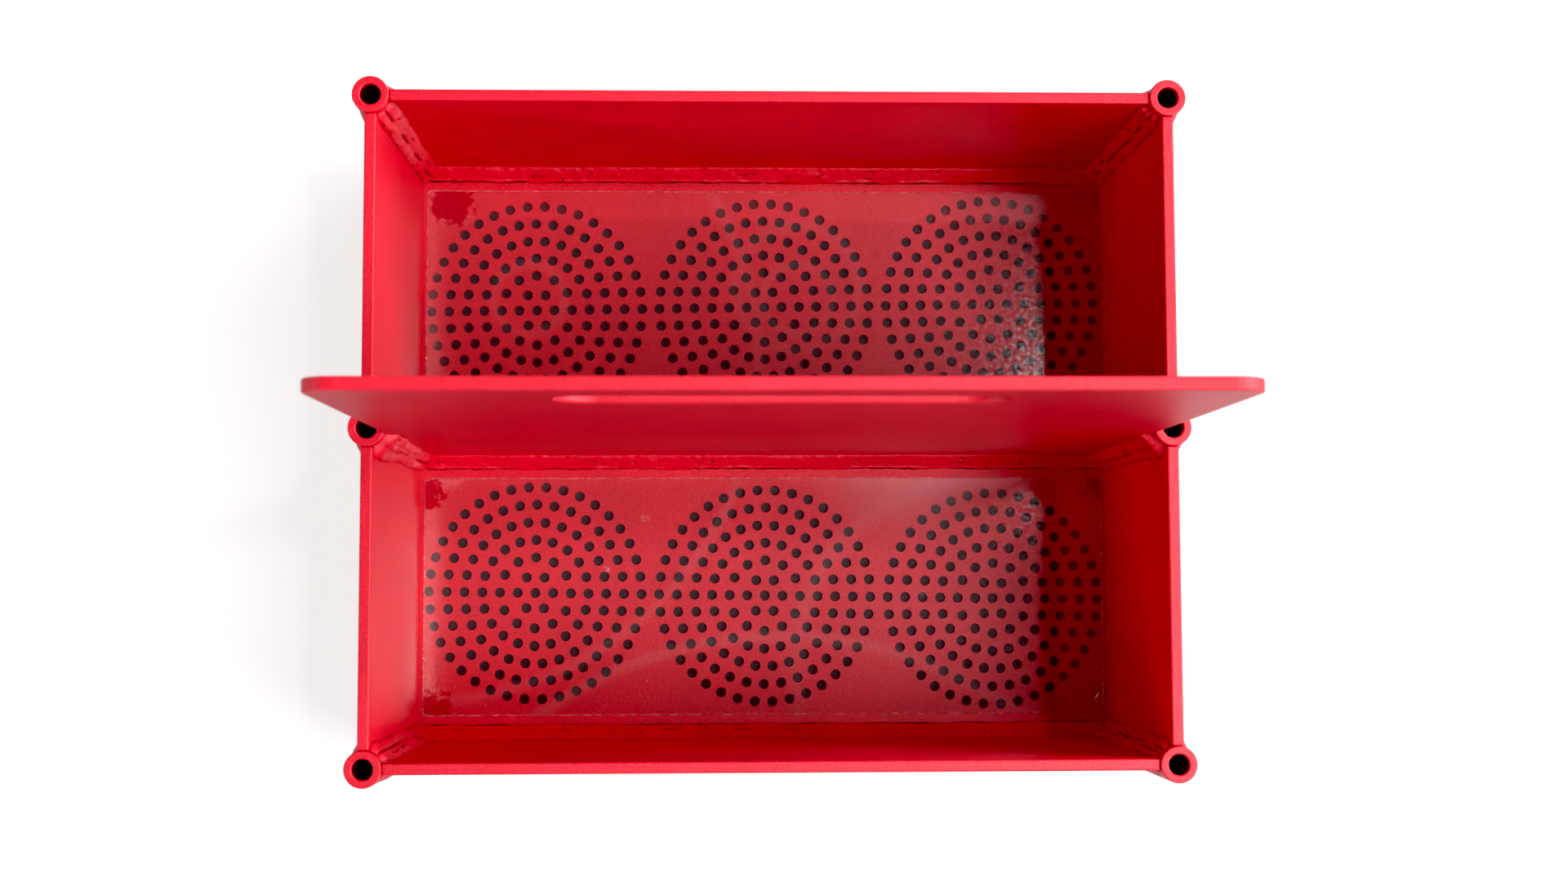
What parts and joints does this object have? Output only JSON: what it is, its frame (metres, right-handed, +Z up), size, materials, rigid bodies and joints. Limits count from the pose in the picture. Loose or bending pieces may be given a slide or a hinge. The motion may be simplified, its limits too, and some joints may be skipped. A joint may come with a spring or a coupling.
{
  "type": "milk bottle crate",
  "caption": "Open welded plate crate in two bays, with perforated floors, clear loose liners, upright corner tubes and a tall middle plate with a hand slot.",
  "frame": {"origin": "middle of the footprint, at the level the crate rests on", "axes": "+X along the long side, +Y to the rear, +Z up"},
  "size_m": [0.2897, 0.2436, 0.271],
  "materials": {
    "red_powder_coat": "fine-textured semi-gloss powder coat over steel and weld beads",
    "black_rubber": "matt black sheet rubber",
    "clear_sheet": "clear glossy flexible plastic sheet"
  },
  "bodies": {
    "crate": {"front_plate": "red_powder_coat", "rear_plate": "red_powder_coat", "left_front_side_plate": "red_powder_coat", "left_rear_side_plate": "red_powder_coat", "right_front_side_plate": "red_powder_coat", "right_rear_side_plate": "red_powder_coat", "handle_plate": "red_powder_coat", "front_floor_plate": "red_powder_coat", "rear_floor_plate": "red_powder_coat", "front_left_tube": "red_powder_coat", "front_right_tube": "red_powder_coat", "rear_left_tube": "red_powder_coat", "rear_right_tube": "red_powder_coat", "left_middle_tube": "red_powder_coat", "right_middle_tube": "red_powder_coat", "front_left_inner_weld": "red_powder_coat", "front_right_inner_weld": "red_powder_coat", "rear_left_inner_weld": "red_powder_coat", "rear_right_inner_weld": "red_powder_coat", "left_middle_inner_welds": "red_powder_coat", "right_middle_inner_welds": "red_powder_coat", "front_left_outer_welds": "red_powder_coat", "front_right_outer_welds": "red_powder_coat", "rear_left_outer_welds": "red_powder_coat", "rear_right_outer_welds": "red_powder_coat", "left_middle_outer_welds": "red_powder_coat", "right_middle_outer_welds": "red_powder_coat", "front_floor_welds": "red_powder_coat", "rear_floor_welds": "red_powder_coat", "front_mat": "black_rubber", "rear_mat": "black_rubber"},
    "front_liner_sheet": {"front_liner": "clear_sheet"},
    "rear_liner_sheet": {"rear_liner": "clear_sheet"}
  },
  "joints": [
    {"name": "front_liner_lift", "type": "slide", "parent": "crate", "child": "front_liner_sheet", "axis": [0, 0, 1], "range_m": [0, 0.27]},
    {"name": "rear_liner_lift", "type": "slide", "parent": "crate", "child": "rear_liner_sheet", "axis": [0, 0, 1], "range_m": [0, 0.27]}
  ]
}
